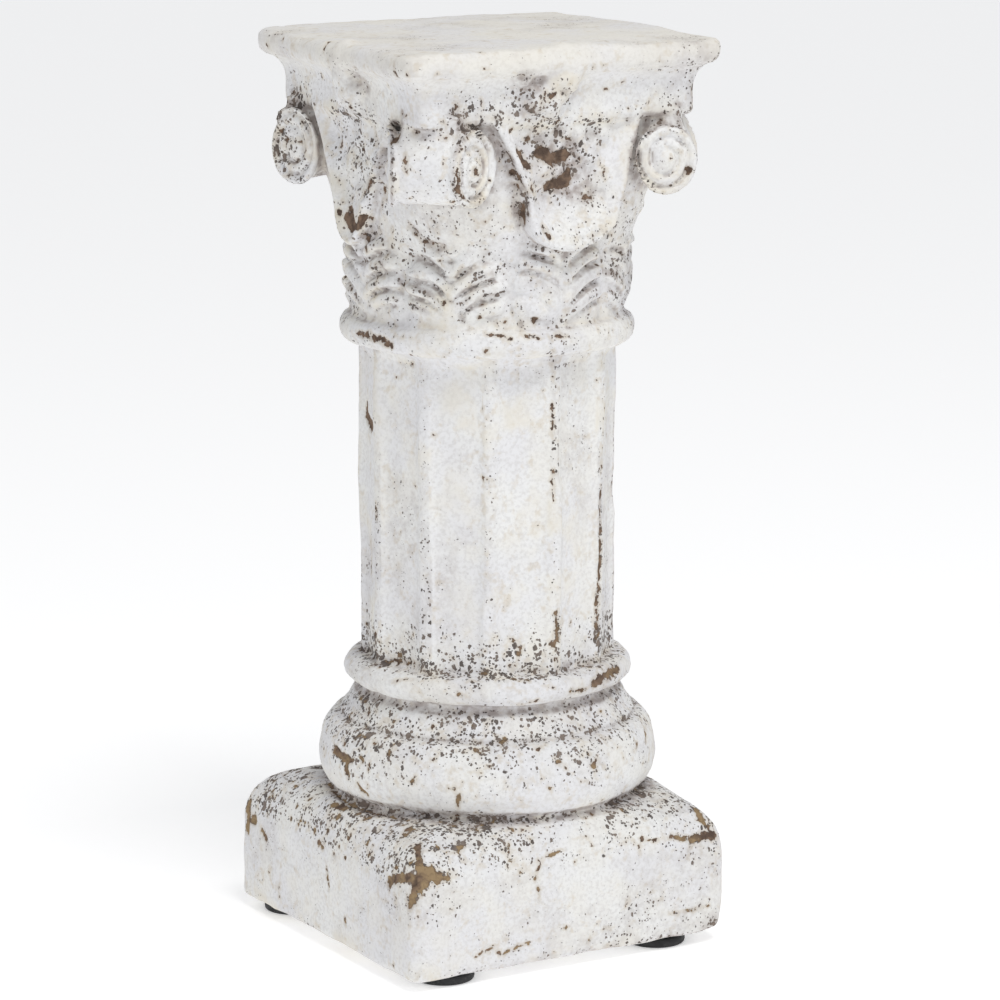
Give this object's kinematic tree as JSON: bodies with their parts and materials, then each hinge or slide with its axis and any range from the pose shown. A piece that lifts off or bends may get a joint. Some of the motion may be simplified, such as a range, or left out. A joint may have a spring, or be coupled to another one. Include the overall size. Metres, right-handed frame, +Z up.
{
  "type": "decorative column",
  "caption": "Small cast ornamental column with a domed square plinth, ringed base, fluted shaft and leafy capital with corner volutes, in worn chalky white paint, on rubber foot pads.",
  "frame": {"origin": "on the ground, at the level of the undersides of the foot pads, under the middle of the plinth", "axes": "+Z up along the column; -Y is the wide side that the picture shows on the right, and +X is to the right of someone who faces it"},
  "size_m": [0.1279, 0.1272, 0.3195],
  "materials": {
    "painted_cement": "matte",
    "black_rubber": "matte"
  },
  "bodies": {
    "root": {"cast_column": "painted_cement", "foot_pad_front_left": "black_rubber", "foot_pad_front_right": "black_rubber", "foot_pad_back_left": "black_rubber", "foot_pad_back_right": "black_rubber"}
  },
  "joints": []
}
